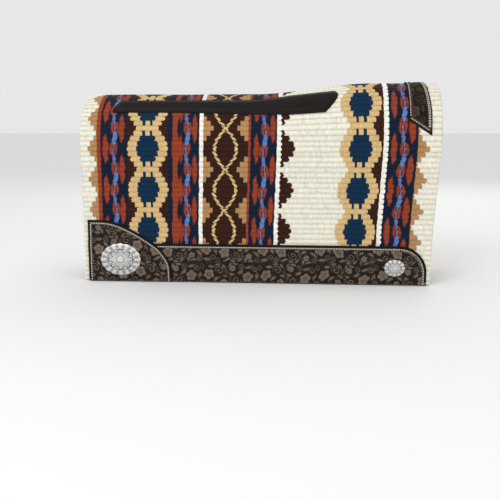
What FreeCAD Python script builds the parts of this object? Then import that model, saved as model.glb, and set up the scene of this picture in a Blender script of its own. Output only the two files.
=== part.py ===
import FreeCAD, Part
import math
import os

# Western show saddle pad, standing on its two lower hems.
# Millimetres. +X is the front (withers), +Y is the horse's left, +Z is up.
# The origin is on the floor, below the middle of the pad.

Vec = FreeCAD.Vector

# Overall pad
PAD_LENGTH = 864.0
ARCH_RADIUS = 112.0
ARCH_CENTRE_Z = 346.0
WITHER_RISE = 25.0
RISE_START_X = -20.0
RISE_LENGTH = 300.0
LOFT_STATIONS = 13
ARC_POINTS = 17

# Layers, as depths below the outer woven surface
WOVEN_DEPTH = 6.0
CORE_DEPTH = 19.0
PAD_DEPTH = 25.0

# Fold lines between the arch and the two sides
FOLD_Z = 320.0
FOLD_GAP = 0.3
INWARD_FOLD_DEG = 17.0

# Front edge of each side, which is cut back towards the hem
FRONT_TOP_X = 432.0
FRONT_MIDDLE_X = 424.5
FRONT_MIDDLE_Z = 155.0
FRONT_HEM_X = 417.0
HEM_CORNER_RADIUS = 9.0

# Leathers
LEATHER = 3.0
LEATHER_FOOT_Z = 1.0
WEAR_TOP_Z = 96.0
WEAR_REAR_X = -419.0
WEAR_FRONT_X = 407.0
WEAR_CORNER_RADIUS = 64.0
CORNER_OUTLINE = [(-419.0, 153.0), (-363.0, 150.0), (-313.0, 131.0), (-252.0, 94.0),
                  (-228.0, 70.0), (-214.0, 43.0), (-211.0, LEATHER_FOOT_Z)]
WITHER_OUTLINE = [(354.0, 560.0), (353.0, 403.0), (405.0, 377.0), (407.0, 393.0),
                  (405.0, 435.0), (401.0, 465.0), (392.0, 560.0)]
BAR_THICKNESS = 6.0
BAR_OUTLINE = [(-357.0, -91.0), (-340.0, -61.0), (-20.0, -60.0), (75.0, -50.0),
               (170.0, -50.0), (187.0, -60.0), (187.0, -74.0), (164.0, -94.0),
               (95.0, -95.0), (-139.0, -92.0)]
BAR_CORNER = 4.0
ARCH_LEATHER_GAP = 0.1
ARCH_LEATHER_FOOT_Z = ARCH_CENTRE_Z - 5.0
PRISM_TOP_Z = 600.0

# Seams
THREAD = 0.8
THREAD_WIDTH = 1.6
SEAM_INSET = 7.0
WITHER_SEAM_INSET = 4.9
WITHER_SLANT_BELOW_Z = 420.0
WITHER_SLANT = 1.6

# Conchos: centre x and z, half length, half height, height above the leather
REAR_CONCHO = (-338.0, 56.0, 50.0, 40.0, 4.0)
FRONT_CONCHO = (331.0, 43.0, 25.0, 21.0, 3.5)
SCREW_RADIUS = 2.5
SCREW_HEAD_RADIUS = 6.0
SCREW_HEAD = 1.5
CONCHO_ROUNDING = 0.6
EDGE_TOLERANCE = 0.01

SIDES = (("left", 1), ("right", -1))


def rise(x):
    """Extra height of the arch at x, for the horse's withers."""
    t = min(max((x - RISE_START_X) / RISE_LENGTH, 0.0), 1.0)
    return WITHER_RISE * (1.0 - math.cos(math.pi * t)) / 2.0


def arch_curve(x, depth):
    """Half ellipse over the arch, from the right side to the left."""
    half = ARCH_RADIUS - depth
    points = []
    for i in range(ARC_POINTS):
        angle = math.pi * i / (ARC_POINTS - 1)
        y = -half * math.cos(angle)
        z = ARCH_CENTRE_Z + (half + rise(x)) * math.sin(angle)
        points.append(Vec(x, y, z))
    curve = Part.BSplineCurve()
    curve.interpolate(Points=points, InitialTangent=Vec(0, 0, 1), FinalTangent=Vec(0, 0, -1))
    return curve.toShape(), points[0], points[-1]


def fold_height(depth):
    """Lower end of an arch layer, cut back so that the sides can fold inwards."""
    return FOLD_Z + FOLD_GAP / 2 + max(depth, 0.0) * math.tan(math.radians(INWARD_FOLD_DEG))


def arch_section(x, outer, inner, foot=None):
    """Closed cross-section of one arch layer between two depths."""
    top, top_right, top_left = arch_curve(x, outer)
    under, under_right, under_left = arch_curve(x, inner)
    low_outer = foot if foot is not None else fold_height(outer)
    low_inner = foot if foot is not None else fold_height(inner)
    right_foot = Vec(x, top_right.y, low_outer)
    right_inner = Vec(x, under_right.y, low_inner)
    left_foot = Vec(x, top_left.y, low_outer)
    left_inner = Vec(x, under_left.y, low_inner)
    lines = [(top_left, left_foot), (left_foot, left_inner), (left_inner, under_left)]
    back = [(under_right, right_inner), (right_inner, right_foot), (right_foot, top_right)]
    edges = [top] + [Part.makeLine(a, b) for a, b in lines] + [under]
    edges += [Part.makeLine(a, b) for a, b in back]
    return Part.Wire(Part.__sortEdges__(edges))


def arch_layer(outer, inner, foot=None):
    """Solid layer of the arch between two depths, lofted along the pad's length."""
    step = PAD_LENGTH / (LOFT_STATIONS - 1)
    stations = [i * step - PAD_LENGTH / 2 for i in range(LOFT_STATIONS)]
    return Part.makeLoft([arch_section(x, outer, inner, foot) for x in stations], True, False)


def upright_prism(outline, y_low, y_high):
    """Prism of an X-Z outline, given as a closed wire at y = 0, between two y values."""
    face = Part.Face(outline)
    face.translate(Vec(0, min(y_low, y_high), 0))
    return face.extrude(Vec(0, abs(y_high - y_low), 0))


def closed_polygon(points):
    """Closed wire through the points."""
    return Part.makePolygon(points + [points[0]])


def side_outline():
    """X-Z outline of one hanging side."""
    top = FOLD_Z - FOLD_GAP / 2
    rear = -PAD_LENGTH / 2
    r = HEM_CORNER_RADIUS
    bow = r * (1.0 - math.sqrt(0.5))
    front_middle = Vec(FRONT_MIDDLE_X, 0, FRONT_MIDDLE_Z)
    front = Part.Arc(Vec(FRONT_TOP_X, 0, top), front_middle, Vec(FRONT_HEM_X, 0, r))
    front_corner = Part.Arc(Vec(FRONT_HEM_X, 0, r), Vec(FRONT_HEM_X - bow, 0, bow), Vec(FRONT_HEM_X - r, 0, 0))
    rear_corner = Part.Arc(Vec(rear + r, 0, 0), Vec(rear + bow, 0, bow), Vec(rear, 0, r))
    edges = [
        Part.makeLine(Vec(rear, 0, top), Vec(FRONT_TOP_X, 0, top)),
        front.toShape(),
        front_corner.toShape(),
        Part.makeLine(Vec(FRONT_HEM_X - r, 0, 0), Vec(rear + r, 0, 0)),
        rear_corner.toShape(),
        Part.makeLine(Vec(rear, 0, r), Vec(rear, 0, top)),
    ]
    return Part.Wire(edges)


def side_layer(sign, outer, inner):
    """Solid layer of one hanging side between two depths."""
    return upright_prism(side_outline(), sign * (ARCH_RADIUS - outer), sign * (ARCH_RADIUS - inner))


def wear_outline(inset=0.0):
    """X-Z outline of the long wear leather, with its large rounded front corner."""
    front = WEAR_FRONT_X - inset
    top = WEAR_TOP_Z - inset
    rear = WEAR_REAR_X + inset
    foot = LEATHER_FOOT_Z
    r = WEAR_CORNER_RADIUS - inset
    bow = r * (1.0 - math.sqrt(0.5))
    corner = Part.Arc(Vec(front - r, 0, top), Vec(front - bow, 0, top - bow), Vec(front, 0, top - r))
    edges = [
        Part.makeLine(Vec(rear, 0, foot), Vec(rear, 0, top)),
        Part.makeLine(Vec(rear, 0, top), Vec(front - r, 0, top)),
        corner.toShape(),
        Part.makeLine(Vec(front, 0, top - r), Vec(front, 0, foot)),
        Part.makeLine(Vec(front, 0, foot), Vec(rear, 0, foot)),
    ]
    return Part.Wire(edges)


def corner_outline(inset=0.0):
    """X-Z outline of the rear corner leather; inset shrinks its top and front for the seam."""
    centre = Vec(CORNER_OUTLINE[0][0], 0, LEATHER_FOOT_Z)
    points = []
    for x, z in CORNER_OUTLINE:
        out = Vec(x, 0, z) - centre
        out.multiply(1.0 - inset / out.Length)
        points.append(centre + out)
    first = Vec(points[0].x, 0, points[0].z)
    first.x = centre.x + inset
    points[0] = first
    points[-1] = Vec(points[-1].x, 0, LEATHER_FOOT_Z)
    curve = Part.BSplineCurve()
    curve.interpolate(Points=points)
    base = Vec(first.x, 0, LEATHER_FOOT_Z)
    edges = [curve.toShape(), Part.makeLine(points[-1], base), Part.makeLine(base, first)]
    return Part.Wire(edges)


def proud(sign, outline, low, high):
    """Plate of an X-Z outline between two heights above the woven surface of one side."""
    return upright_prism(outline, sign * (ARCH_RADIUS + low), sign * (ARCH_RADIUS + high))


def seam(sign, outline_of, height):
    """Thread line that follows an outline at the seam inset, on the face of the leather."""
    band = proud(sign, outline_of(SEAM_INSET), height, height + THREAD)
    return band.cut(proud(sign, outline_of(SEAM_INSET + THREAD_WIDTH), height, height + THREAD))


def concho_plate(sign, place, base):
    """Oval domed plate standing on the leather."""
    x, z, half_length, half_height, thickness = place
    ellipse = Part.Ellipse(Vec(0, 0, 0), half_length, half_height)
    plate = Part.Face(Part.Wire([ellipse.toShape()])).extrude(Vec(0, 0, thickness))
    rim = [edge for edge in plate.Edges if abs(edge.BoundBox.ZMin - thickness) < EDGE_TOLERANCE]
    plate = plate.makeFillet(thickness * CONCHO_ROUNDING, rim)
    plate.rotate(Vec(0, 0, 0), Vec(1, 0, 0), -90.0 * sign)
    plate.translate(Vec(x, sign * base, z))
    return plate


def concho_screw(sign, place, base, leather):
    """Screw post through the leather with its flat head behind it."""
    direction = Vec(0, sign, 0)
    x, z = place[0], place[1]
    back = base - leather
    head = Part.makeCylinder(SCREW_HEAD_RADIUS, SCREW_HEAD, Vec(x, sign * (back - SCREW_HEAD), z), direction)
    post = Part.makeCylinder(SCREW_RADIUS, leather, Vec(x, sign * back, z), direction)
    return head.fuse(post)


def bar_leather(sign):
    """Smooth padded leather strip along the arch, beside the spine."""
    points = [Vec(x, y, 0) for x, y in BAR_OUTLINE]
    prism = Part.Face(closed_polygon(points)).extrude(Vec(0, 0, PRISM_TOP_Z))
    upright = [e for e in prism.Edges if abs(e.tangentAt(e.FirstParameter).z) > 1.0 - EDGE_TOLERANCE]
    prism = prism.makeFillet(BAR_CORNER, upright)
    strip = arch_layer(-BAR_THICKNESS, -ARCH_LEATHER_GAP, ARCH_LEATHER_FOOT_Z).common(prism)
    if sign > 0:
        strip = strip.mirror(Vec(0, 0, 0), Vec(0, 1, 0))
    return strip


def wither_prism(inset=0.0):
    """X-Z outline of the wither leather as a prism across the whole pad."""
    middle = sum(x for x, z in WITHER_OUTLINE) / len(WITHER_OUTLINE)
    points = []
    for x, z in WITHER_OUTLINE:
        toward = inset if x < middle else -inset
        points.append(Vec(x + toward, 0, z + (WITHER_SLANT * inset if z < WITHER_SLANT_BELOW_Z else 0.0)))
    return upright_prism(closed_polygon(points), -2 * ARCH_RADIUS, 2 * ARCH_RADIUS)


def wither_layer(low, high, inset=0.0):
    """Layer of the wither leather between two heights above the woven surface."""
    shell = arch_layer(-high, -low, ARCH_LEATHER_FOOT_Z)
    return shell.common(wither_prism(inset))


def make_arch():
    """Nodes of the arch, which stays still while the sides fold."""
    seam_inset = WITHER_SEAM_INSET
    outside = wither_layer(LEATHER, LEATHER + THREAD, seam_inset)
    inside = wither_prism(seam_inset + THREAD_WIDTH)
    return {
        "woven_top_arch": arch_layer(0.0, WOVEN_DEPTH),
        "felt_core_arch": arch_layer(WOVEN_DEPTH, CORE_DEPTH),
        "contact_felt_arch": arch_layer(CORE_DEPTH, PAD_DEPTH),
        "wither_leather": wither_layer(ARCH_LEATHER_GAP, LEATHER),
        "wither_stitching": outside.cut(inside),
        "bar_leather_left": bar_leather(1),
        "bar_leather_right": bar_leather(-1),
    }


def make_side(name, sign):
    """Nodes of one hanging side."""
    wear = proud(sign, wear_outline(), 0.0, LEATHER)
    corner = proud(sign, corner_outline(), 0.0, 2 * LEATHER).cut(wear)
    rear_screw = concho_screw(sign, REAR_CONCHO, ARCH_RADIUS + 2 * LEATHER, 2 * LEATHER)
    front_screw = concho_screw(sign, FRONT_CONCHO, ARCH_RADIUS + LEATHER, LEATHER)
    wear_seam = seam(sign, wear_outline, LEATHER).cut(proud(sign, corner_outline(), 0.0, 3 * LEATHER))
    return {
        "woven_top_" + name: side_layer(sign, 0.0, WOVEN_DEPTH).cut(rear_screw).cut(front_screw),
        "felt_core_" + name: side_layer(sign, WOVEN_DEPTH, CORE_DEPTH),
        "contact_felt_" + name: side_layer(sign, CORE_DEPTH, PAD_DEPTH),
        "wear_leather_" + name: wear.cut(rear_screw).cut(front_screw),
        "wear_stitching_" + name: wear_seam,
        "corner_leather_" + name: corner.cut(rear_screw),
        "corner_stitching_" + name: seam(sign, corner_outline, 2 * LEATHER),
        "rear_concho_" + name: concho_plate(sign, REAR_CONCHO, ARCH_RADIUS + 2 * LEATHER),
        "front_concho_" + name: concho_plate(sign, FRONT_CONCHO, ARCH_RADIUS + LEATHER),
        "rear_concho_screw_" + name: rear_screw,
        "front_concho_screw_" + name: front_screw,
    }


def main():
    os.makedirs("parts", exist_ok=True)
    nodes = make_arch()
    for name, sign in SIDES:
        nodes.update(make_side(name, sign))
    for node, shape in nodes.items():
        print(node, len(shape.Solids), shape.isValid(), round(shape.Volume))
        shape.exportStep("parts/" + node + ".step")


main()
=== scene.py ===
import math
import bpy
import numpy as np
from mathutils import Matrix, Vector


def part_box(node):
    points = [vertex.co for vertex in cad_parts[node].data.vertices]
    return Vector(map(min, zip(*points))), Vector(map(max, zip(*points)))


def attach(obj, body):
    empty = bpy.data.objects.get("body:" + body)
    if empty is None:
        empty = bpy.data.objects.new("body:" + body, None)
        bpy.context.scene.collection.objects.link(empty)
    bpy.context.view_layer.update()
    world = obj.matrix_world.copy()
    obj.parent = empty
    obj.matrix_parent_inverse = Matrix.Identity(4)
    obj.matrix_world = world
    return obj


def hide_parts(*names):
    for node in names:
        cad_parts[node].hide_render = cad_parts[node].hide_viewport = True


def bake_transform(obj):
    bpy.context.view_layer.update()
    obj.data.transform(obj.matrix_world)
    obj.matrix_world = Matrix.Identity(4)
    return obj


# Western show saddle pad: woven wool top, felt, tooled leather, stitching and conchos around the CAD frame.
# Metres, +X to the front, +Y to the horse's left, +Z up.

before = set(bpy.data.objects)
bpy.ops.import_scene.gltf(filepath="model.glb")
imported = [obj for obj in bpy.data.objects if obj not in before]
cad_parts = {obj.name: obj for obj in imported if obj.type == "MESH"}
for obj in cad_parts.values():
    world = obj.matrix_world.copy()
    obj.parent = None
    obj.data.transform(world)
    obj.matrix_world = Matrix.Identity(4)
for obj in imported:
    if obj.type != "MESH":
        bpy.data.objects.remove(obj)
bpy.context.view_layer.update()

# Shape of the pad, from the frame
ARCH_LOW, ARCH_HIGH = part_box("woven_top_arch")
PAD_LENGTH = ARCH_HIGH[0] - ARCH_LOW[0]
REAR_X = ARCH_LOW[0]
RADIUS = (ARCH_HIGH[1] - ARCH_LOW[1]) / 2
WITHER_RISE = 0.025
RISE_START_X = -0.020
RISE_LENGTH = 0.300
ARCH_Z = ARCH_HIGH[2] - RADIUS - WITHER_RISE
HEM_FRONT_X = 0.417
HEM_CUT_START_Z = 0.320
WOVEN_DEPTH = 0.006
CORE_DEPTH = 0.019
PAD_DEPTH = 0.025
QUARTER_ARC = math.pi / 2 * RADIUS
HALF_WIDTH = ARCH_Z + QUARTER_ARC

# Weave
CELLS = 152
YARNS = 3
ROWS = 42.5
STEPS = 5
ROW = HALF_WIDTH / ROWS
RIB = 0.0021
PERIOD = 8
RING_ROW = 10

SIDES = (("left", 1), ("right", -1))
RNG = np.random.default_rng(7)


def srgb(r, g, b):
    """Linear colour from 0 to 255 display values."""
    out = []
    for v in (r / 255, g / 255, b / 255):
        out.append(v / 12.92 if v <= 0.04045 else ((v + 0.055) / 1.055) ** 2.4)
    return out


WOOL = {
    "cream": srgb(229, 225, 209),
    "white": srgb(240, 237, 226),
    "tan": srgb(208, 177, 124),
    "camel": srgb(172, 132, 88),
    "straw": srgb(210, 182, 126),
    "brown": srgb(54, 29, 21),
    "rust": srgb(146, 62, 36),
    "plum": srgb(104, 44, 44),
    "navy": srgb(16, 32, 52),
    "teal": srgb(14, 46, 72),
    "blue": srgb(90, 124, 182),
    "lavender": srgb(118, 106, 146),
    "periwinkle": srgb(98, 106, 156),
}


# ---------------------------------------------------------------- pad surface

def rise(x):
    """Extra height of the arch at x."""
    t = np.clip((x - RISE_START_X) / RISE_LENGTH, 0.0, 1.0)
    return WITHER_RISE * (1.0 - np.cos(math.pi * t)) / 2.0


def surface(x, t, side, out):
    """Point on the pad, out above the wool. t runs from the hem (0) to the spine (HALF_WIDTH)."""
    x, t, out = np.broadcast_arrays(np.asarray(x, float), np.asarray(t, float), np.asarray(out, float))
    angle = np.clip((t - ARCH_Z) / QUARTER_ARC, 0.0, None) * math.pi / 2
    tall = RADIUS + rise(x)
    ny = np.cos(angle) * tall
    nz = np.sin(angle) * RADIUS
    length = np.hypot(ny, nz)
    y = RADIUS * np.cos(angle) + out * ny / length
    z = np.where(t < ARCH_Z, t, ARCH_Z + tall * np.sin(angle) + out * nz / length)
    return np.stack([x, side * y, z], axis=-1)


def front_edge(t):
    """X of the front edge, which is cut back towards the hem."""
    down = np.clip((HEM_CUT_START_Z - t) / HEM_CUT_START_Z, 0.0, 1.0)
    front = REAR_X + PAD_LENGTH
    return front - (front - HEM_FRONT_X) * np.sin(down * math.pi / 2)


def wander(x, t):
    """Slow unevenness of a hand-made pad, in metres."""
    return 0.0010 * np.sin(9.0 * x + 1.3) * np.sin(11.0 * t + 0.4) + 0.0006 * np.sin(23.0 * x + 17.0 * t)


# ---------------------------------------------------------------- mesh helpers

def new_object(name, verts, faces, smooth=True):
    mesh = bpy.data.meshes.new(name)
    mesh.from_pydata([tuple(v) for v in verts], [], [tuple(f) for f in faces])
    mesh.update()
    if smooth:
        mesh.polygons.foreach_set("use_smooth", [True] * len(mesh.polygons))
    obj = bpy.data.objects.new(name, mesh)
    bpy.context.scene.collection.objects.link(obj)
    return obj


def grid_faces(rows, cols, flip=False, closed=False):
    """Quads of a rows by cols grid of points; closed joins the last column to the first."""
    i, j = np.meshgrid(np.arange(rows - 1), np.arange(cols if closed else cols - 1), indexing="ij")
    nxt = (j + 1) % cols
    a, b, c, d = i * cols + j, i * cols + nxt, (i + 1) * cols + nxt, (i + 1) * cols + j
    quads = np.stack([a, d, c, b] if flip else [a, b, c, d], axis=-1)
    return quads.reshape(-1, 4)


def grid_border(rows, cols):
    """Point numbers round the edge of a grid, in order."""
    last = (rows - 1) * cols
    bottom, top = list(range(cols)), [last + j for j in range(cols)]
    left, right = [i * cols for i in range(rows)], [i * cols + cols - 1 for i in range(rows)]
    return bottom + right[1:] + top[-2::-1] + left[-2:0:-1]


def border_walls(rows, cols):
    """Quads that join the edge of a grid to the same grid numbered after it."""
    count, path = rows * cols, grid_border(rows, cols)
    return [(a, a + count, b + count, b) for a, b in zip(path, path[1:] + path[:1])]


def new_shell(name, face, foot, side):
    """Closed shell between two grids of points with the same shape."""
    rows, cols = face.shape[:2]
    flip = side > 0
    walls = [quad[::-1] if flip else quad for quad in border_walls(rows, cols)]
    faces = [grid_faces(rows, cols, flip), grid_faces(rows, cols, not flip) + rows * cols, np.array(walls)]
    verts = np.concatenate([face.reshape(-1, 3), foot.reshape(-1, 3)])
    return new_object(name, verts, np.concatenate(faces))


def edge_drop(distance, width, drop):
    """How far a rounded edge falls away, from drop at the edge to 0 at width inside it."""
    near = np.clip(1.0 - distance / width, 0.0, 1.0)
    return drop * (1.0 - np.sqrt(1.0 - near ** 2 * 0.999))


def point_attribute(obj, name, values):
    attribute = obj.data.attributes.new(name, "FLOAT", "POINT")
    attribute.data.foreach_set("value", np.asarray(values, np.float32).ravel())


def set_uv(obj, name, uv):
    """UV map from one (u, v) per point."""
    layer = obj.data.uv_layers.new(name=name)
    loops = np.empty(len(obj.data.loops), np.int32)
    obj.data.loops.foreach_get("vertex_index", loops)
    layer.data.foreach_set("uv", np.asarray(uv, np.float32)[loops].ravel())


def give(obj, material):
    obj.data.materials.clear()
    obj.data.materials.append(material)


# ---------------------------------------------------------------- material helpers

class Nodes:
    """Short way to build a node tree."""

    def __init__(self, name):
        self.material = bpy.data.materials.new(name)
        self.material.use_nodes = True
        self.tree = self.material.node_tree
        self.shader = self.tree.nodes["Principled BSDF"]

    def add(self, kind, inputs=None, **settings):
        node = self.tree.nodes.new(kind)
        for key, value in settings.items():
            setattr(node, key, value)
        for key, value in (inputs or {}).items():
            self.put(node.inputs[key], value)
        return node

    def put(self, socket, value):
        if isinstance(value, bpy.types.NodeSocket):
            self.tree.links.new(value, socket)
        else:
            socket.default_value = value

    def math(self, operation, a, b=0.0):
        return self.add("ShaderNodeMath", {0: a, 1: b}, operation=operation).outputs[0]

    def noise(self, vector, scale, detail=4.0, rough=0.6):
        inputs = {"Vector": vector, "Scale": scale, "Detail": detail, "Roughness": rough}
        return self.add("ShaderNodeTexNoise", inputs).outputs["Fac"]

    def wave(self, vector, scale, distortion, detail, direction):
        inputs = {"Vector": vector, "Scale": scale, "Distortion": distortion, "Detail": detail,
                  "Detail Scale": detail}
        node = self.add("ShaderNodeTexWave", inputs, wave_type="BANDS", bands_direction=direction)
        return node.outputs["Fac"]

    def mix(self, factor, a, b, blend="MIX"):
        node = self.add("ShaderNodeMix", {"Factor": factor}, data_type="RGBA", blend_type=blend)
        self.put(node.inputs[6], a)
        self.put(node.inputs[7], b)
        return node.outputs[2]

    def ramp(self, value, low, high):
        """Value remapped from low..high to 0..1."""
        node = self.add("ShaderNodeMapRange", {"Value": value, "From Min": low, "From Max": high})
        return node.outputs["Result"]

    def bump(self, height, strength, distance, normal=None):
        node = self.add("ShaderNodeBump", {"Height": height, "Strength": strength, "Distance": distance})
        if normal is not None:
            self.put(node.inputs["Normal"], normal)
        return node.outputs["Normal"]

    def attribute(self, name):
        return self.add("ShaderNodeAttribute", attribute_name=name, attribute_type="GEOMETRY")

    def place(self):
        return self.add("ShaderNodeTexCoord").outputs["Object"]

    def scaled(self, vector, x, y, z=1.0):
        return self.add("ShaderNodeMapping", {"Vector": vector, "Scale": (x, y, z)}).outputs["Vector"]


def rgba(colour):
    return (*colour, 1.0)


def wool_material():
    """Weft-faced wool: chart colour, twisted yarns with fine strands, loose fibres and uneven dye; the yarn
    and strand bands also darken the colour as painted shade between yarns.
    """
    n = Nodes("woven_wool")
    uv = n.add("ShaderNodeUVMap", uv_map="weave").outputs["UV"]
    colour = n.attribute("weave").outputs["Color"]
    yarns = n.wave(uv, 11.05, 0.8, 2.0, "X")
    strands = n.wave(n.scaled(uv, 1.0, 0.35), 40.0, 2.5, 3.0, "DIAGONAL")
    fibre = n.noise(n.scaled(uv, 60.0, 14.0), 9.0, 6.0, 0.7)
    patch = n.noise(uv, 3.0, 3.0, 0.5)
    # Painted shade: the yarn and strand bands darken the colour between yarns and along the twist; the fibre
    # and patch noise are random tone and uneven dye.
    dye_and_yarn_shade = n.math("ADD", n.math("MULTIPLY", yarns, 0.12), n.math("MULTIPLY", fibre, 0.24))
    dye_and_yarn_shade = n.math("ADD", dye_and_yarn_shade, n.math("MULTIPLY", strands, 0.10))
    dye_and_yarn_shade = n.math("ADD", n.math("ADD", dye_and_yarn_shade, n.math("MULTIPLY", patch, 0.14)), 0.70)
    value = n.add("ShaderNodeCombineColor", {"Red": dye_and_yarn_shade, "Green": dye_and_yarn_shade, "Blue": dye_and_yarn_shade}).outputs["Color"]
    n.put(n.shader.inputs["Base Color"], n.mix(1.0, colour, value, "MULTIPLY"))
    n.put(n.shader.inputs["Roughness"], n.ramp(fibre, -1.2, 1.3))
    n.shader.inputs["Specular IOR Level"].default_value = 0.06
    n.shader.inputs["Sheen Weight"].default_value = 0.03
    n.shader.inputs["Sheen Roughness"].default_value = 0.5
    normal = n.bump(yarns, 0.6, 0.0010)
    normal = n.bump(strands, 0.5, 0.0005, normal)
    n.put(n.shader.inputs["Normal"], n.bump(fibre, 0.5, 0.0006, normal))
    return n.material


def felt_material(name, light, dark, scale):
    """Pressed wool: short tangled fibres in two close tones."""
    n = Nodes(name)
    place = n.place()
    fine = n.noise(place, scale, 8.0, 0.75)
    broad = n.noise(place, scale / 12.0, 3.0, 0.5)
    mixed = n.math("ADD", n.math("MULTIPLY", fine, 0.7), n.math("MULTIPLY", broad, 0.3))
    n.put(n.shader.inputs["Base Color"], n.mix(n.ramp(mixed, 0.32, 0.68), rgba(dark), rgba(light)))
    n.put(n.shader.inputs["Roughness"], n.ramp(fine, -1.5, 1.2))
    n.shader.inputs["Specular IOR Level"].default_value = 0.15
    n.shader.inputs["Sheen Weight"].default_value = 0.3
    n.put(n.shader.inputs["Normal"], n.bump(mixed, 0.7, 0.0015))
    return n.material


def tooled_material(name, raised, cut, rim):
    """Antiqued leather: dark dye left in the cuts, rubbed tops, painted rim, fine grain."""
    n = Nodes(name)
    place = n.place()
    height = n.attribute("tool").outputs["Fac"]
    edge = n.attribute("rim").outputs["Fac"]
    grain = n.noise(place, 900.0, 6.0, 0.7)
    cloud = n.noise(place, 60.0, 6.0, 0.65)
    rubbed = n.math("ADD", height, n.math("MULTIPLY", n.math("SUBTRACT", cloud, 0.5), 1.1))
    colour = n.mix(n.ramp(rubbed, 0.18, 0.92), rgba(cut), rgba(raised))
    fleck = n.math("MULTIPLY", n.ramp(grain, 0.42, 0.72), 0.5)
    colour = n.mix(fleck, colour, rgba([v * 0.5 for v in cut]))
    n.put(n.shader.inputs["Base Color"], n.mix(edge, colour, rgba(rim)))
    worn = n.math("SUBTRACT", grain, n.math("MULTIPLY", height, 0.2))
    n.put(n.shader.inputs["Roughness"], n.ramp(worn, -1.3, 0.9))
    n.shader.inputs["Specular IOR Level"].default_value = 0.18
    n.put(n.shader.inputs["Normal"], n.bump(grain, 0.4, 0.0004))
    return n.material


def smooth_leather_material():
    """Smooth, nearly black bar leather with fine pores and faint creases."""
    n = Nodes("smooth_leather")
    place = n.place()
    pores = n.add("ShaderNodeTexVoronoi", {"Vector": place, "Scale": 700.0}).outputs["Distance"]
    cloud = n.noise(place, 18.0, 5.0, 0.6)
    crease = n.noise(n.scaled(place, 20.0, 90.0, 90.0), 2.0, 5.0, 0.6)
    dark, light = rgba(srgb(10, 7, 6)), rgba(srgb(21, 14, 12))
    n.put(n.shader.inputs["Base Color"], n.mix(n.ramp(cloud, 0.3, 0.7), dark, light))
    uneven = n.math("ADD", cloud, n.math("MULTIPLY", pores, 0.3))
    n.put(n.shader.inputs["Roughness"], n.ramp(uneven, -0.7, 2.0))
    n.shader.inputs["Specular IOR Level"].default_value = 0.16
    normal = n.bump(pores, 0.25, 0.0003)
    n.put(n.shader.inputs["Normal"], n.bump(crease, 0.25, 0.0008, normal))
    return n.material


def thread_material():
    """Waxed cream thread with a fine twist."""
    n = Nodes("thread")
    place = n.place()
    twist = n.noise(place, 1500.0, 3.0, 0.6)
    n.put(n.shader.inputs["Base Color"], n.mix(twist, rgba(srgb(196, 190, 176)), rgba(srgb(246, 243, 234))))
    n.put(n.shader.inputs["Roughness"], n.ramp(twist, -0.8, 1.6))
    n.put(n.shader.inputs["Normal"], n.bump(twist, 0.4, 0.0003))
    return n.material


def silver_material():
    """Engraved silver plate with dark polish left in the cuts."""
    n = Nodes("silver")
    place = n.place()
    height = n.attribute("tool").outputs["Fac"]
    scuff = n.noise(place, 160.0, 6.0, 0.65)
    worn = n.math("ADD", height, n.math("MULTIPLY", n.math("SUBTRACT", scuff, 0.5), 0.35))
    dark, bright = rgba(srgb(52, 50, 48)), rgba(srgb(226, 226, 224))
    n.put(n.shader.inputs["Base Color"], n.mix(n.ramp(worn, 0.30, 0.95), dark, bright))
    n.shader.inputs["Metallic"].default_value = 1.0
    n.put(n.shader.inputs["Roughness"], n.ramp(scuff, -0.2, 1.6))
    n.put(n.shader.inputs["Normal"], n.bump(scuff, 0.15, 0.0002))
    return n.material


def steel_material():
    n = Nodes("screw_steel")
    rub = n.noise(n.scaled(n.place(), 30.0, 400.0, 30.0), 20.0, 4.0, 0.6)
    n.put(n.shader.inputs["Base Color"], n.mix(rub, rgba(srgb(110, 110, 108)), rgba(srgb(170, 170, 166))))
    n.shader.inputs["Metallic"].default_value = 1.0
    n.put(n.shader.inputs["Roughness"], n.ramp(rub, -0.6, 1.8))
    return n.material


# ---------------------------------------------------------------- weave chart

# Half widths of the ring and of its dark centre, in cells, by rows from the ring's middle
RING_HALF = (8.75, 8.4, 7.4, 6.0, 4.9)
CENTRE_HALF = (5.0, 4.5, 3.4)
TEETH = (1.0, 2.1)
HEXAGON_WIDTH = (6.0, 5.4, 3.6, 1.6, 0.0)
CHAIN_REACH = 4.7
CHAIN_LINE = 0.66
CHAIN_LEAN = 0.9
SIDE_TRIANGLE = (4.5, 3.1, 1.4, 0.0, 0.0)
REAR_TRIANGLE = (4.0, 3.0, 1.5, 0.5)
FRONT_TRIANGLE = (5.0, 3.4, 1.7, 0.6)
OUTER_PERIOD = 6
OUTER_ROW = 8
SCALLOP = 0.34


def ring(off, k, tuck):
    """Ring motif in cells: its colour at a distance off its middle and row offset k, or None outside."""
    if k < len(CENTRE_HALF) and off + tuck < CENTRE_HALF[k]:
        return "teal"
    if k == 3 and TEETH[0] < off < TEETH[1]:
        return "teal"
    return "tan" if off + tuck < RING_HALF[k] else None


def chain(c, r, k, tuck):
    """Chain of diamonds between two rows of side triangles."""
    off = abs(c - CHAIN_CENTRE)
    cross = PERIOD // 2 - k
    along = (r - RING_ROW - 0.5 + PERIOD / 2) % PERIOD
    path = CHAIN_REACH * math.sin(math.pi * along / PERIOD)
    lean = CHAIN_LEAN * (r - math.floor(r) - 0.5) * math.copysign(1.0, PERIOD / 2 - along)
    if abs(off - path - lean) < CHAIN_LINE - tuck:
        return "straw"
    if CHAIN_HALF - off < SIDE_TRIANGLE[cross]:
        return "camel"
    return "brown"


def wrap(r, period):
    """Signed distance from the nearest multiple of the period."""
    return (r + period / 2) % period - period / 2


def oval(c, r, centre, half, middle):
    """Dyed oval repeated every PERIOD rows: its colour, darker towards its rim, or None outside."""
    dr = wrap(r - middle, PERIOD)
    if abs(dr) >= 2.9:
        return None
    limit = half * (1.0 - (dr / 2.9) ** 2) ** 0.6
    off = abs(c - centre - 0.12 * math.sin(2.4 * dr))
    if off >= limit:
        return None
    return "rust" if off < limit - 0.26 else "plum"


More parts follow.
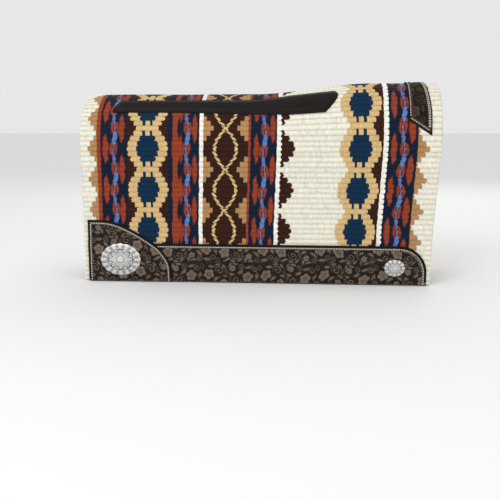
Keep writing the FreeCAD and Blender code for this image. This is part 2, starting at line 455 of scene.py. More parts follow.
def flame(c, r, centre, blue_row):
    """Wandering line of blue and lavender with small red flecks on both sides."""
    dr = wrap(r - blue_row, PERIOD)
    path = centre + 0.50 * math.sin(2 * math.pi * (r - blue_row) / PERIOD + 0.6)
    off = abs(c - path)
    if abs(dr) < 1.25 and off < 0.35 + 0.62 * (1.0 - (dr / 1.25) ** 2):
        return "blue"
    second = wrap(r - blue_row - PERIOD / 2, PERIOD)
    if abs(second) < 1.1 and off < 0.30 + 0.42 * (1.0 - (second / 1.1) ** 2):
        return "periwinkle"
    if off < 0.30:
        return "lavender"
    red = abs(wrap(r - blue_row - PERIOD / 4, PERIOD / 2))
    if red < 1.35:
        reach = 0.55 + 1.4 * (1.0 - (red / 1.35) ** 2) ** 0.5
        if 0.55 < off < reach:
            return "rust" if off < reach - 0.35 else "plum"
    return None


# Bands of flames between ovals:
# (first cell, last cell, left ovals, flame centre, right ovals, row of the blue).
# Each oval column is (centre, half width, rows above the ring's middle).
BANDS = (
    (9.0, 20.3, (11.1, 1.4, 0), 14.9, (18.1, 1.35, 4), 2.1),
    (42.6, 51.4, (43.5, 0.8, 0), 46.1, (49.4, 1.2, 4), 2.0),
    (73.0, 84.0, (75.4, 1.2, 0), 78.8, (82.3, 1.25, 4), 1.6),
    (130.0, 142.0, (132.3, 1.35, 0), 136.2, (139.6, 1.5, 4), -2.0),
)
# Plain stripes: (first cell, last cell, colour)
STRIPES = ((7.4, 8.9, "rust"), (71.9, 73.1, "rust"))
WHITE_STRIPES = ((51.6, 52.9), (84.1, 85.6), (128.1, 129.7))
RUST_STRIPE = (39.9, 42.2)
LEFT_RING, RIGHT_RING = 29.2, 118.75
RING_FIELDS = ((20.3, 38.0, LEFT_RING), (109.0, 128.1, RIGHT_RING))
CHAIN_CENTRE, CHAIN_HALF = 62.4, 9.5
REAR_BASE, FRONT_BASE = 7.4, 142.0
HEXAGON_BASE = 85.6


def chart(c, r):
    """Colour name at cell column c and row r (both may be fractions)."""
    row = math.floor(r)
    k = int(abs(wrap(row - RING_ROW, PERIOD)))
    tuck = SCALLOP * abs(2.0 * (r - row) - 1.0) ** 2.0
    for first, last in WHITE_STRIPES:
        if first - 0.25 + 0.6 * tuck <= c < last + 0.25 - 0.6 * tuck:
            return "white"
    for first, last, name in STRIPES:
        if first <= c < last:
            return name
    swell = 0.75 * math.cos(2 * math.pi * (r - RING_ROW - 0.5) / PERIOD)
    if RUST_STRIPE[0] - 0.3 * swell <= c < RUST_STRIPE[1] + 0.4 + swell:
        return "rust"
    for first, last, left, centre, right, blue in BANDS:
        if first - 0.3 <= c < last:
            return band_colour(c, r, left, centre, right, blue)
    if 38.0 <= c < BANDS[1][0]:
        return "navy"
    for first, last, centre in RING_FIELDS:
        if first <= c < last:
            ground = "brown" if centre == LEFT_RING or c > centre else "cream"
            return ring(abs(c - centre), k, tuck) or ground
    if 52.9 <= c < 71.9:
        return chain(c, r, k, tuck)
    if HEXAGON_BASE <= c and c - HEXAGON_BASE + tuck < HEXAGON_WIDTH[k]:
        return "brown"
    outer = int(abs(wrap(row - OUTER_ROW, OUTER_PERIOD)))
    if REAR_BASE - REAR_TRIANGLE[outer] + tuck < c < REAR_BASE:
        return "camel"
    if FRONT_BASE <= c < FRONT_BASE + FRONT_TRIANGLE[outer] - tuck:
        return "camel"
    return "cream"


def band_colour(c, r, left, centre, right, blue):
    """Colour inside a band of flames and ovals."""
    middle = RING_ROW + 0.5
    wave = flame(c, r, centre, middle + blue)
    if wave in ("blue", "lavender", "periwinkle"):
        return wave
    spots = [oval(c, r, place, half, middle + above) for place, half, above in (left, right)]
    return spots[0] or spots[1] or wave or "navy"


def paint_weave(obj, colours, tone_and_groove_shade):
    """Corner colours: one chart colour per strand face, times its tone, which holds random tone and painted
    shade in the grooves between rows.
    """
    palette = np.array([WOOL[name] for name in colours.ravel()])
    palette = np.clip(palette * tone_and_groove_shade.ravel()[:, None], 0.0, 1.0)
    full = np.concatenate([palette, np.ones((len(palette), 1))], axis=1)
    per_corner = np.repeat(full, 4, axis=0).astype(np.float32)
    layer = obj.data.color_attributes.new(name="weave", type="FLOAT_COLOR", domain="CORNER")
    layer.data.foreach_set("color", per_corner.ravel())


def make_woven(name, side, material):
    """One half of the woven top, from the hem to the spine, with real ribs and floats."""
    columns = CELLS * YARNS + 1
    lines = int(ROWS * STEPS) + 1
    u = np.linspace(0.0, 1.0, columns)
    r = np.linspace(0.0, ROWS, lines)
    uu, rr = np.meshgrid(u, r)
    t = rr * ROW
    phase = rr % 1.0
    rib = np.sin(math.pi * phase) ** 0.55
    yarn = np.where(np.arange(columns) % YARNS == 0, 0.90, 1.0)[None, :]
    row_of = np.minimum(rr.astype(int), int(ROWS))
    cell_tone = RNG.normal(0.0, 1.0, (int(ROWS) + 1, CELLS + 1))
    cell_of = cell_tone[row_of, (uu * CELLS).astype(int)]
    row_shift = RNG.normal(0.0, 0.00035, int(ROWS) + 1)[row_of]
    slant = np.where(row_of % 2 == 0, 1.0, -1.0) * (phase - 0.5) * 0.0007
    bulge = 0.0008 * np.sin(math.pi * phase)
    inner = np.minimum(uu, 1 - uu) * PAD_LENGTH
    selvage = 0.0007 * np.sin(math.pi * phase) * np.clip(1.0 - inner / 0.012, 0.0, 1.0) * np.sign(uu - 0.5)
    sideways = (slant + bulge + row_shift) * np.clip(inner / 0.01, 0, 1)
    x = REAR_X + uu * (front_edge(t) - REAR_X) + sideways + selvage
    out = -RIB * (1.0 - rib * yarn) + 0.00006 * cell_of * rib + wander(x, t) * 0.5 + 0.0002
    out = out - edge_drop(inner, 0.007, 0.007)
    out = out - edge_drop(t, 0.005, 0.004)
    points = surface(x, t, side, out)
    obj = new_object(name, points.reshape(-1, 3), grid_faces(lines, columns, flip=side > 0))
    mid_c = (np.arange(columns - 1) + 0.5) / YARNS
    mid_r = (r[:-1] + r[1:]) / 2
    colours = np.array([[chart(c, row) for c in mid_c] for row in mid_r])
    rows_of = np.minimum(mid_r.astype(int), int(ROWS))
    tone_and_groove_shade = 1.0 + 0.035 * cell_tone[np.ix_(rows_of, mid_c.astype(int))] + RNG.normal(0, 0.02, colours.shape)
    # Painted shade: the colour darkens towards the groove at each edge of a rib row, where shade falls
    # between the ribs.
    groove = np.abs(2.0 * (mid_r % 1.0) - 1.0) ** 3
    tone_and_groove_shade = tone_and_groove_shade * (1.0 - 0.30 * groove)[:, None] * RNG.normal(1.0, 0.02, int(ROWS) + 1)[rows_of][:, None]
    paint_weave(obj, colours, tone_and_groove_shade)
    set_uv(obj, "weave", np.stack([uu.ravel() * PAD_LENGTH * 10, t.ravel() * 10], axis=1))
    give(obj, material)
    return obj


FELT_ROUNDING = 0.75


def make_layer(name, side, top, bottom, material, inset=0.0):
    """One half of a felt layer as a closed shell with soft rounded ends."""
    columns, lines = 140, 110
    u = np.linspace(0.0, 1.0, columns)
    t = np.linspace(0.0, HALF_WIDTH, lines)
    uu, tt = np.meshgrid(u, t)
    middle, half = (top + bottom) / 2, (bottom - top) / 2
    x = REAR_X + inset + uu * (front_edge(tt) - REAR_X - 2 * inset)
    near = np.minimum(uu, 1 - uu) * PAD_LENGTH
    round_end = np.clip(1.0 - near / half, 0.0, 1.0)
    round_hem = np.clip(1.0 - tt / half, 0.0, 1.0)
    soft = np.sqrt(1.0 - round_end ** 2 * FELT_ROUNDING) * np.sqrt(1.0 - round_hem ** 2 * FELT_ROUNDING)
    upper = surface(x, tt, side, -middle + half * soft + wander(x, tt) * 0.3)
    lower = surface(x, tt, side, -middle - half * soft + wander(x + 0.2, tt) * 0.3)
    obj = new_shell(name, upper, lower, side)
    give(obj, material)
    return obj


def bend(obj):
    """Bakes the transform of a half of the pad into its mesh."""
    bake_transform(obj)


# ---------------------------------------------------------------- tooled leather

def flower(x, z, cx, cz, size, turn):
    """Height of a five-petalled flower with a beaded centre; 0 outside."""
    dx, dz = x - cx, z - cz
    radius = np.hypot(dx, dz) / size
    angle = np.arctan2(dz, dx) + turn
    petal = 0.74 + 0.26 * np.abs(np.cos(2.5 * angle))
    body = np.clip((petal - radius) * 7.0, 0.0, 1.0)
    vein = 0.5 + 0.5 * np.cos(15.0 * angle)
    groove = np.clip(np.abs(np.sin(2.5 * angle + math.pi / 2)) * 6.0, 0.0, 1.0)
    ring_cut = np.clip(np.abs(radius - 0.34) * 22.0, 0.0, 1.0)
    beads = 0.75 + 0.25 * np.cos(9.0 * angle) * np.cos(radius * 40.0)
    inside = np.where(radius < 0.34, beads, 0.55 + 0.45 * groove - 0.16 * vein * np.clip(radius - 0.3, 0, 1))
    return body * inside * ring_cut


def leaf(x, z, cx, cz, length, width, turn):
    """Height of a pointed leaf with a cut midrib."""
    dx, dz = x - cx, z - cz
    along = (dx * math.cos(turn) + dz * math.sin(turn)) / length
    across = (-dx * math.sin(turn) + dz * math.cos(turn)) / width
    across = across - 0.35 * (1 - along ** 2)
    limit = np.clip(1.0 - along ** 2, 0.0, 1.0)
    body = np.clip((limit - np.abs(across)) * 4.0, 0.0, 1.0)
    rib = np.clip(np.abs(across) * 9.0, 0.0, 1.0)
    veins = 0.82 + 0.18 * np.cos(along * 22.0 + np.abs(across) * 7.0)
    return body * (0.35 + 0.65 * rib) * veins


def scroll(x, z, cx, cz, radius, turn, hand):
    """Height of a spiral stem that curls about a centre."""
    dx, dz = x - cx, z - cz
    r = np.hypot(dx, dz) / radius
    angle = (hand * np.arctan2(dz, dx) + turn) / (2 * math.pi)
    wind = r * 1.6 - angle
    ridge = np.abs(wind - np.round(wind)) * 2.0
    return np.clip(1.25 - ridge * 2.1, 0.0, 1.0) * np.clip((1.05 - r) * 6.0, 0.0, 1.0) * 0.8


TILE_X, TILE_Z = 0.070, 0.062


def tile_parts(lx, lz):
    """Heights of one tile of flowers, scrolls and leaves, about its middle."""
    return (
        flower(lx, lz, -0.013, 0.004, 0.0145, 0.4),
        flower(lx, lz, 0.024, -0.015, 0.0085, 1.1),
        scroll(lx, lz, 0.014, 0.014, 0.0115, 0.3, 1.0),
        scroll(lx, lz, -0.029, -0.017, 0.0085, 2.2, -1.0),
        scroll(lx, lz, 0.031, 0.010, 0.0075, 1.2, 1.0),
        scroll(lx, lz, 0.004, -0.022, 0.0080, 4.2, -1.0),
        scroll(lx, lz, -0.030, 0.022, 0.0080, 0.8, 1.0),
        leaf(lx, lz, 0.006, -0.008, 0.0095, 0.0042, 0.7),
        leaf(lx, lz, -0.014, -0.021, 0.0100, 0.0040, 0.15),
        leaf(lx, lz, 0.027, -0.001, 0.0085, 0.0034, -0.35),
        leaf(lx, lz, -0.006, 0.024, 0.0100, 0.0036, 2.9),
        leaf(lx, lz, 0.018, -0.027, 0.0090, 0.0032, -0.1),
        leaf(lx, lz, 0.032, -0.024, 0.0075, 0.0032, 1.3),
        leaf(lx, lz, -0.033, 0.003, 0.0080, 0.0032, 1.8),
        leaf(lx, lz, 0.010, 0.028, 0.0090, 0.0032, 0.4),
        leaf(lx, lz, 0.025, 0.025, 0.0080, 0.0032, 2.3),
    )


def tooling(x, z):
    """Floral tooling height, from 0 in the cuts to 1 on the tops, in turned tiles."""
    wx = x + 0.0022 * np.sin(61.0 * z + 5.0 * x) + 0.0012 * np.sin(140.0 * z)
    wz = z + 0.0022 * np.sin(53.0 * x + 1.0) + 0.0012 * np.sin(131.0 * x)
    row = np.floor(wz / TILE_Z)
    column = np.floor(wx / TILE_X + 0.5 * (row % 2))
    lx = wx - (column + 0.5 - 0.5 * (row % 2)) * TILE_X
    lz = wz - (row + 0.5) * TILE_Z
    lx = lx * np.where((column + row) % 2 == 0, 1.0, -1.0)
    lz = lz * np.where(column % 2 == 0, 1.0, -1.0)
    height = np.zeros_like(wx)
    for part in tile_parts(lx, lz):
        height = np.maximum(height, part)
    stipple = 0.14 + 0.14 * np.sin(x * 2600.0) * np.sin(z * 2600.0 + x * 700.0)
    return np.maximum(height, np.clip(stipple, 0.0, 1.0))


def plate_faces(rows, cols, side, across_rows):
    """Faces of a plate: fine front grid, edge walls, and a back of strips across its straight direction."""
    count = rows * cols
    last_row = (rows - 1) * cols
    bottom, top = list(range(cols)), [last_row + j for j in range(cols)]
    left, right = [i * cols for i in range(rows)], [i * cols + cols - 1 for i in range(rows)]
    faces = [tuple(f) for f in grid_faces(rows, cols)] + border_walls(rows, cols)
    if across_rows:
        pairs, first_edge, last_edge = list(zip(bottom, top)), left, right
    else:
        pairs, first_edge, last_edge = list(zip(left, right)), bottom, top
    back = [(a, b, d, c) for (a, b), (c, d) in zip(pairs[1:-2], pairs[2:-1])]
    back.append(tuple(first_edge) + (pairs[1][1], pairs[1][0]))
    back.append((pairs[-2][0], pairs[-2][1]) + tuple(last_edge[::-1]))
    back = [f if across_rows else f[::-1] for f in back]
    faces += [tuple(k + count for k in f) for f in back]
    return [f[::-1] for f in faces] if side > 0 else faces


def finish_plate(name, base_point, distance, tool, thick, side, rim_width, border,
                 sunk=0.0004, across_rows=True):
    """Leather plate from a grid: base_point(out) gives the points at a height above the wool.

    distance is each point's distance from the cut edge. The face is rounded at the edge and tooled inside.
    sunk is how far the foot lies below the wool.
    """
    rows, cols = distance.shape
    inside = np.clip((distance - border) / 0.0015, 0.0, 1.0)
    rounded = edge_drop(distance, ROUND_OVER, ROUND_OVER)
    face = base_point(thick - TOOL_DEPTH * inside * (1.0 - tool) - rounded)
    foot = base_point(np.full(distance.shape, -sunk))
    verts = np.concatenate([face.reshape(-1, 3), foot.reshape(-1, 3)])
    obj = new_object(name, verts, plate_faces(rows, cols, side, across_rows))
    rim = np.clip((rim_width - distance) / 0.0006, 0.0, 1.0)
    height = tool * inside + 0.75 * (1 - inside)
    point_attribute(obj, "tool", np.concatenate([height.ravel(), np.zeros(rows * cols)]))
    point_attribute(obj, "rim", np.concatenate([rim.ravel(), np.ones(rows * cols)]))
    return obj


LEATHER = 0.003
ROUND_OVER = 0.0014
TOOL_DEPTH = 0.0014
WEAR_CORNER = 0.064
STEP_DOWN = 0.012
RIM_WIDTH = 0.0056
TOOL_BORDER = 0.0098
HEM_TOOLED = 0.012


def axis_steps(low, high, step, edge=0.0014):
    """Positions from low to high, close together at both ends for the rounded edges."""
    middle = np.linspace(low + edge, high - edge, max(int((high - low) / step), 3))
    ends = np.linspace(0.0, edge, 4)[:-1]
    return np.concatenate([low + ends, middle, high - ends[::-1]])


def wear_leather(name, side, material):
    """Long strip along the hem with a large rounded front corner."""
    low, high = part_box("wear_leather_" + name)
    corner = WEAR_CORNER
    xs = axis_steps(low[0], high[0], 0.0012)
    vs = axis_steps(0.0, high[2] - low[2], 0.0012) / (high[2] - low[2])
    into = np.clip(xs - (high[0] - corner), 0.0, corner)
    tops = high[2] - corner + np.sqrt(corner ** 2 - into ** 2)
    x = np.broadcast_to(xs[None, :], (len(vs), len(xs)))
    z = low[2] + vs[:, None] * (tops - low[2])[None, :]
    reach = np.hypot(np.clip(x - (high[0] - corner), 0, None), np.clip(z - (high[2] - corner), 0, None))
    curve = np.where((x > high[0] - corner) & (z > high[2] - corner), corner - reach, 1.0)
    distance = np.minimum.reduce([x - low[0], high[0] - x, z - low[2], high[2] - z, curve])
    distance = np.clip(distance, 0.0, None)
    at_corner = np.clip((x - high[0] + 0.075) / 0.05, 0.0, 1.0) * np.clip((z - 0.035) / 0.03, 0.0, 1.0)
    painted = np.where(z < low[2] + 0.008, 0.0012, RIM_WIDTH + 0.004 * at_corner)
    plain = np.where(z < low[2] + HEM_TOOLED, 0.001, TOOL_BORDER + 0.004 * at_corner)
    obj = finish_plate("wear_leather_%s_tooled" % name, lambda out: surface(x, z, side, out),
                       distance, tooling(x, z + 0.012), LEATHER, side, painted, plain)
    give(obj, material)
    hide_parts("wear_leather_" + name)
    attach(obj, "side_" + name)


# Rear corner leather: curved edge from its top to its front, measured from its lower rear corner
CORNER_POINTS = ((0.0, 0.152), (0.056, 0.149), (0.106, 0.130), (0.167, 0.093),
                 (0.191, 0.069), (0.205, 0.042), (0.208, 0.0))


def corner_face(z, wear_top):
    """Height of the corner leather's face: it steps down above the top of the long strip."""
    lift = np.clip((z - wear_top) / STEP_DOWN, 0.0, 1.0)
    return 2 * LEATHER - (LEATHER * 0.8) * lift * lift * (3 - 2 * lift)


def smooth_path(points, count):
    """Evenly spaced points on a Catmull-Rom curve through the given points."""
    p = np.array(points, float)
    p = np.vstack([2 * p[0] - p[1], p, 2 * p[-1] - p[-2]])
    out = []
    for i in range(1, len(p) - 2):
        for s in np.linspace(0.0, 1.0, 24, endpoint=False):
            a, b, c, d = p[i - 1], p[i], p[i + 1], p[i + 2]
            square, cube = 2 * a - 5 * b + 4 * c - d, 3 * b - a - 3 * c + d
            out.append(0.5 * (2 * b + (c - a) * s + square * s ** 2 + cube * s ** 3))
    out.append(p[-2])
    out = np.array(out)
    run = np.concatenate([[0.0], np.cumsum(np.linalg.norm(np.diff(out, axis=0), axis=1))])
    want = np.linspace(0.0, run[-1], count)
    return np.stack([np.interp(want, run, out[:, k]) for k in range(out.shape[1])], axis=1)


def corner_leather(name, side, material):
    """Rear corner patch over the end of the long strip."""
    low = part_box("corner_leather_" + name)[0]
    outline = smooth_path(CORNER_POINTS, 230)
    rings = axis_steps(0.0, 1.0, 0.0062, 0.008)[3:]
    rings = np.concatenate([[0.02], rings[rings > 0.03]])
    x = low[0] + rings[:, None] * outline[None, :, 0]
    z = low[2] + rings[:, None] * outline[None, :, 1]
    to_x, to_z = x[..., None] - (low[0] + outline[:, 0]), z[..., None] - (low[2] + outline[:, 1])
    gaps = np.hypot(to_x, to_z).min(axis=-1)
    distance = np.minimum.reduce([gaps, x - low[0], z - low[2]])
    thick = corner_face(z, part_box("wear_leather_" + name)[1][2])
    painted = np.where(z < low[2] + 0.008, 0.0012, RIM_WIDTH)
    plain = np.where(z < low[2] + HEM_TOOLED, 0.001, TOOL_BORDER)

    def stepped(out):
        return surface(x, z, side, np.where(out > 0, out + thick - 2 * LEATHER, out))

    obj = finish_plate("corner_leather_%s_tooled" % name, stepped, np.clip(distance, 0, None),
                       tooling(x + 0.03, z * 0.96 + 0.01), 2 * LEATHER, side, painted, plain, sunk=0.0002)
    give(obj, material)
    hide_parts("corner_leather_" + name)
    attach(obj, "side_" + name)


WITHER_REAR_X = 0.3535
WITHER_REAR_REACH, WITHER_FRONT_REACH = 0.138, 0.167
WITHER_LENGTH = 0.053


def wither_front(s):
    """X of the wither leather's front edge at arc distance s from the spine."""
    return 0.3945 + 0.0125 * np.clip(np.abs(s) / 0.120, 0.0, 1.0) ** 0.8


def wither_leather(material):
    """Tooled leather across the front of the arch, with pointed lower ends."""
    q = axis_steps(-1.0, 1.0, 0.0062, 0.006)
    p = axis_steps(0.0, 1.0, 0.020, 0.024)
    reach = WITHER_REAR_REACH + p[None, :] * (WITHER_FRONT_REACH - WITHER_REAR_REACH)
    s = q[:, None] * reach
    front_x = wither_front(s)
    x = WITHER_REAR_X + p[None, :] * (front_x - WITHER_REAR_X)
    side = np.where(s < 0, -1.0, 1.0)
    t = HALF_WIDTH - np.abs(s)
    slope = math.cos(math.atan2(WITHER_FRONT_REACH - WITHER_REAR_REACH, WITHER_LENGTH))
    distance = np.minimum.reduce([x - WITHER_REAR_X, front_x - x, (reach - np.abs(s)) * slope])
    obj = finish_plate("wither_leather_tooled", lambda out: surface(x, t, side, out),
                       np.clip(distance, 0, None), tooling(s, x - 0.333), LEATHER, 1, 0.0034, 0.0095,
                       across_rows=False)
    give(obj, material)
    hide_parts("wither_leather")
    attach(obj, "arch")


def bar_edges(x):
    """Arc distances from the spine of the bar leather's upper and lower edges at x."""
    upper = np.interp(x, [-0.36, -0.02, 0.075, 0.19], [0.064, 0.064, 0.052, 0.054])
    lower = np.interp(x, [-0.36, -0.14, 0.095, 0.19], [0.106, 0.108, 0.116, 0.116])
    return upper, lower


def bar_leather(name, side, material):
    """Smooth padded strip beside the spine, with slanting rounded ends and a sewn-down border."""
    p = axis_steps(0.0, 1.0, 0.006, 0.010)
    q = axis_steps(0.0, 1.0, 0.03, 0.06)
    rear = -0.357 + 0.017 * q + 0.004 * (2 * q - 1) ** 6
    front = 0.160 + 0.030 * np.sin(np.clip(q, 0, 1) * math.pi * 0.62) - 0.006 * np.clip(q - 0.8, 0, 1) * 5
    x = rear[:, None] + p[None, :] * (front - rear)[:, None]
    upper, lower = bar_edges(x)
    s = lower + q[:, None] * (upper - lower)
    distance = np.minimum.reduce([(x - rear[:, None]) * 0.93, (front[:, None] - x) * 0.93,
                                  s - upper, lower - s])
    distance = np.clip(distance, 0.0, None)
    pad = np.clip((distance - 0.004) / 0.010, 0.0, 1.0)
    seam_cut = np.exp(-((distance - 0.004) / 0.0009) ** 2)
    out = 0.0022 + 0.0032 * np.sin(pad * math.pi / 2) - 0.0006 * seam_cut
    out = out - edge_drop(distance, ROUND_OVER, ROUND_OVER)
    t = HALF_WIDTH - s
    face, foot = surface(x, t, side, out), surface(x, t, side, -0.0004)
    obj = new_shell("bar_leather_%s_padded" % name, face, foot, side)
    give(obj, material)
    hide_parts("bar_leather_" + name)
    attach(obj, "arch")


# ---------------------------------------------------------------- stitches

STITCH_PITCH = 0.0062
STITCH_LENGTH = 0.0046
STITCH_WIDTH = 0.0019


def stitch_row(path, normals, verts, faces):
    """Adds one low rounded stitch for every pitch along a path of points."""
    path, normals = np.asarray(path, float), np.asarray(normals, float)
    run = np.concatenate([[0.0], np.cumsum(np.linalg.norm(np.diff(path, axis=0), axis=1))])
    count = int(run[-1] / STITCH_PITCH)
    around = 8
    for i in range(count):
        at = (i + 0.5) * run[-1] / count
        a, b = at - STITCH_LENGTH / 2, at + STITCH_LENGTH / 2
        start = np.array([np.interp(a, run, path[:, k]) for k in range(3)])
        end = np.array([np.interp(b, run, path[:, k]) for k in range(3)])
        up = np.array([np.interp(at, run, normals[:, k]) for k in range(3)])
        up = up / np.linalg.norm(up)
        along = (end - start) / np.linalg.norm(end - start)
        across = np.cross(up, along)
        first = len(verts)
        for step in range(5):
            w = math.sin(math.pi * (0.12 + 0.76 * step / 4))
            middle = start + (end - start) * step / 4 + up * 0.0003 * w
            for j in range(around):
                angle = 2 * math.pi * j / around
                verts.append(middle + across * math.cos(angle) * STITCH_WIDTH / 2 * w
                             + up * math.sin(angle) * STITCH_WIDTH / 2 * 0.8 * w)
        for step in range(4):
            for j in range(around):
                k = (j + 1) % around
                base = first + step * around
                faces.append((base + j, base + k, base + around + k, base + around + j))
        faces.append(tuple(first + j for j in range(around))[::-1])
        faces.append(tuple(first + 4 * around + j for j in range(around)))


def seam_piece(name, rows, material, node, body):
    """One piece of stitches for rows of (points, normals)."""
    verts, faces = [], []
    for path, normals in rows:
        stitch_row(path, normals, verts, faces)
    mesh = bpy.data.meshes.new(name)
    mesh.from_pydata([tuple(v) for v in verts], [], faces)
    mesh.polygons.foreach_set("use_smooth", [True] * len(mesh.polygons))
    obj = bpy.data.objects.new(name, mesh)
    bpy.context.scene.collection.objects.link(obj)
    give(obj, material)
    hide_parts(node)
    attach(obj, body)


def on_pad(x, t, side, out):
    """Points on the pad and the outward directions there."""
    low = surface(x, t, side, out)
    return low, surface(x, t, side, np.asarray(out) + 0.001) - low


def side_seams(name, side, material):
    """Stitching of the long strip and of the rear corner patch."""
    inset = 0.0075
    low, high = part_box("wear_leather_" + name)
    corner_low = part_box("corner_leather_" + name)[0]
    radius = WEAR_CORNER - inset
    right, top = high[0] - inset, high[2] - inset
    start = corner_low[0] + 0.172
    turn = np.linspace(math.pi / 2, 0.0, 30)
    round_x = right - radius + radius * np.cos(turn)
    xs = np.concatenate([np.linspace(start, right - radius, 200), round_x, [right]])
    zs = np.concatenate([np.full(200, top), top - radius + radius * np.sin(turn), [low[2] + 0.001]])
    seam = [on_pad(xs, zs, side, LEATHER)]
    seam_piece("wear_stitches_" + name, seam, material, "wear_stitching_" + name, "side_" + name)
    outline = smooth_path(CORNER_POINTS, 160)
    shrink = 1.0 - inset / np.linalg.norm(outline, axis=1)
    xs = corner_low[0] + outline[:, 0] * shrink
    zs = corner_low[2] + outline[:, 1] * shrink
    keep = xs > corner_low[0] + inset
    xs = np.concatenate([[corner_low[0] + inset], xs[keep]])
    zs = np.concatenate([[corner_low[2] + 0.1445], zs[keep]])
    up_z = np.linspace(corner_low[2] + 0.002, corner_low[2] + 0.143, 60)
    rows = [on_pad(xs, zs, side, corner_face(zs, high[2])),
            on_pad(np.full(60, corner_low[0] + inset), up_z, side, corner_face(up_z, high[2]))]
    seam_piece("corner_stitches_" + name, rows, material, "corner_stitching_" + name, "side_" + name)


def wither_seams(material):
    """Stitching inside the rear, lower and front edges of the wither leather, over the spine."""
    rows = []
    reach = np.linspace(-0.130, 0.130, 120)
    side = np.where(reach < 0, -1.0, 1.0)
    rows.append(on_pad(np.full(120, 0.3575), HALF_WIDTH - np.abs(reach), side, LEATHER))
    reach = np.linspace(-0.152, 0.152, 140)
    side = np.where(reach < 0, -1.0, 1.0)
    front = wither_front(reach)
    for inset in (0.0045, 0.0075):
        rows.append(on_pad(front - inset, HALF_WIDTH - np.abs(reach), side, LEATHER))
    for sign in (-1.0, 1.0):
        x = np.linspace(0.3575, 0.4010, 30)
        s = 0.1335 + (x - 0.3575) / 0.053 * 0.029
        rows.append(on_pad(x, HALF_WIDTH - s, sign, LEATHER))
    seam_piece("wither_stitches", rows, material, "wither_stitching", "arch")


# ---------------------------------------------------------------- conchos

def concho(node, side, material, body, scallops):
    """Oval domed concho: scalloped rim, rope ring and engraved petals."""
    low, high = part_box(node)
    centre = (np.array(low) + np.array(high)) / 2
    half_x, half_z, depth = (high[0] - low[0]) / 2, (high[2] - low[2]) / 2, high[1] - low[1]
    base = low[1] if side > 0 else high[1]
    rings, around = 64, 288
    r = np.concatenate([np.linspace(0.0, 0.93, rings - 8), np.linspace(0.94, 1.0, 8)])[:, None]
    a = np.linspace(0.0, 2 * math.pi, around, endpoint=False)[None, :]
    notch = 1.0 - np.abs(np.cos(scallops * a / 2)) ** 0.7
    scallop = 1.0 - 0.045 * notch * np.clip((r - 0.6) / 0.4, 0.0, 1.0)
    dome = 0.55 * np.sqrt(np.clip(1.0 - (r / 0.99) ** 2, 0.0, 1.0)) + 0.20
    petals = np.abs(np.cos(scallops * a / 4))
    petal_edge = np.clip(np.abs(r - (0.42 + 0.20 * petals)) * 30.0, 0.0, 1.0)
    ribs = 0.5 + 0.5 * np.cos(scallops * a)
    fan = np.where((r > 0.70) & (r < 0.94), 0.55 + 0.45 * ribs, 1.0)
    rope = np.where((r > 0.60) & (r < 0.685), 0.5 + 0.5 * np.cos(3 * scallops * a + r * 60.0), 1.0)
    button = np.where(r < 0.17, 1.0, np.clip(np.abs(r - 0.19) * 40.0, 0.25, 1.0))
    veins = np.where((r > 0.22) & (r < 0.56), 0.78 + 0.22 * np.cos(scallops * 2 * a), 1.0)
    tool = np.clip(petal_edge * fan * rope * button * veins, 0.0, 1.0)
    rise_up = np.where(r < 0.17, 0.12 * np.sqrt(np.clip(1 - (r / 0.17) ** 2, 0, 1)), 0.0)
    cut = 0.17 * tool * np.clip((1 - r) * 12, 0, 1)
    lift = depth * (dome * np.clip((1.0 - r) * 25.0, 0.0, 1.0) + cut + rise_up)
    x = centre[0] + half_x * r * scallop * np.cos(a)
    z = centre[2] + half_z * r * scallop * np.sin(a)
    y = base + side * np.clip(lift, 0.0, depth * 1.05)
    points = np.stack([x, np.broadcast_to(y, x.shape), z], axis=-1).reshape(-1, 3)
    faces = grid_faces(rings, around, side > 0, closed=True)[around:]
    keep = points[around - 1:].copy()
    keep[0] = (centre[0], points[0][1], centre[2])
    quads = faces - (around - 1)
    fan_faces = [(0, 1 + j, 1 + (j + 1) % around) for j in range(around)]
    fan_faces = [f if side < 0 else f[::-1] for f in fan_faces]
    back = [1 + (rings - 2) * around + j for j in range(around)]
    back = back if side > 0 else back[::-1]
    all_faces = fan_faces + [tuple(q) for q in quads] + [tuple(back)]
    obj = new_object(node + "_engraved", keep, all_faces)
    point_attribute(obj, "tool", tool.ravel()[around - 1:])
    give(obj, material)
    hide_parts(node)
    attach(obj, body)


# ---------------------------------------------------------------- stage, light and camera

def make_stage():
    n = Nodes("studio_floor")
    n.shader.inputs["Base Color"].default_value = (0.86, 0.86, 0.855, 1.0)
    n.shader.inputs["Roughness"].default_value = 0.9
    size = 60.0
    corners = [(-size, -size, 0), (size, -size, 0), (size, size, 0), (-size, size, 0)]
    floor = new_object("floor", corners, [(0, 1, 2, 3)])
    floor.data.materials.append(n.material)
    world = bpy.data.worlds.new("studio")
    world.use_nodes = True
    world.node_tree.nodes["Background"].inputs[0].default_value = (1.0, 1.0, 1.0, 1.0)
    world.node_tree.nodes["Background"].inputs[1].default_value = 0.80
    bpy.context.scene.world = world


def area_light(name, place, aim, size, power):
    data = bpy.data.lights.new(name, "AREA")
    data.shape = "SQUARE"
    data.size = size
    data.energy = power
    light = bpy.data.objects.new(name, data)
    light.location = place
    light.rotation_euler = (Vector(aim) - Vector(place)).to_track_quat("-Z", "Y").to_euler()
    bpy.context.scene.collection.objects.link(light)


def make_camera():
    """Camera nearly level with the pad, a little to the front of square."""
    aim = Vector((-0.019, -0.100, 0.0805))
    azimuth, elevation, distance = math.radians(4.33), math.radians(9.81), 1.719
    level = math.cos(elevation)
    direction = Vector((math.sin(azimuth) * level, -math.cos(azimuth) * level, math.sin(elevation)))
    data = bpy.data.cameras.new("camera")
    data.sensor_width = 36.0
    data.lens = 50.4
    data.clip_end = 60.0
    camera = bpy.data.objects.new("camera", data)
    camera.location = aim + direction * distance
    camera.rotation_euler = (-direction).to_track_quat("-Z", "Y").to_euler()
    bpy.context.scene.collection.objects.link(camera)
    bpy.context.scene.camera = camera


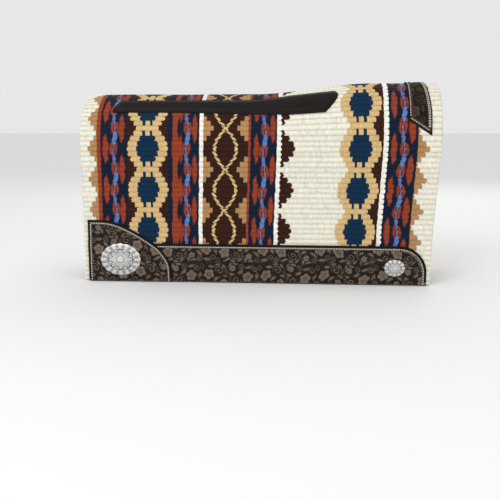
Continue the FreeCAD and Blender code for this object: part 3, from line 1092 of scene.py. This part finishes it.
# ---------------------------------------------------------------- build

wool = wool_material()
core_felt = felt_material("core_felt", srgb(196, 190, 176), srgb(150, 144, 132), 420.0)
contact_felt = felt_material("contact_felt", srgb(214, 208, 194), srgb(176, 168, 152), 260.0)
tooled = tooled_material("tooled_leather", srgb(120, 106, 93), srgb(32, 24, 19), srgb(13, 10, 9))
tooled_dark = tooled_material("wither_tooled_leather", srgb(74, 58, 47), srgb(22, 16, 13), srgb(14, 11, 10))
smooth_leather = smooth_leather_material()
thread = thread_material()
silver = silver_material()
steel = steel_material()

for side_name, side_sign in SIDES:
    cloth = make_woven("woven_wool_" + side_name, side_sign, wool)
    bend(cloth)
    core = make_layer("felt_core_%s_soft" % side_name, side_sign, WOVEN_DEPTH - 0.001, CORE_DEPTH - 0.0005,
                      core_felt, 0.003)
    bend(core)
    contact = make_layer("contact_felt_%s_soft" % side_name, side_sign, CORE_DEPTH, PAD_DEPTH,
                         contact_felt, 0.001)
    bend(contact)
    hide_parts("woven_top_" + side_name, "woven_top_arch")
    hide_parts("felt_core_" + side_name, "felt_core_arch")
    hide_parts("contact_felt_" + side_name, "contact_felt_arch")
    wear_leather(side_name, side_sign, tooled)
    corner_leather(side_name, side_sign, tooled)
    bar_leather(side_name, side_sign, smooth_leather)
    side_seams(side_name, side_sign, thread)
    concho("rear_concho_" + side_name, side_sign, silver, "side_" + side_name, 16)
    concho("front_concho_" + side_name, side_sign, silver, "side_" + side_name, 12)
    for screw in ("rear_concho_screw_", "front_concho_screw_"):
        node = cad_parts[screw + side_name]
        node.data.materials.clear()
        node.data.materials.append(steel)

wither_leather(tooled_dark)
wither_seams(thread)

make_stage()
area_light("key", (-1.2, -2.6, 2.4), (0.0, 0.0, 0.25), 1.6, 40.0)
area_light("fill", (1.8, -2.2, 1.2), (0.0, 0.0, 0.2), 2.0, 5.0)
area_light("back", (0.6, 2.4, 2.0), (0.0, 0.0, 0.25), 2.0, 14.0)
make_camera()
bpy.context.scene.view_settings.view_transform = "Standard"
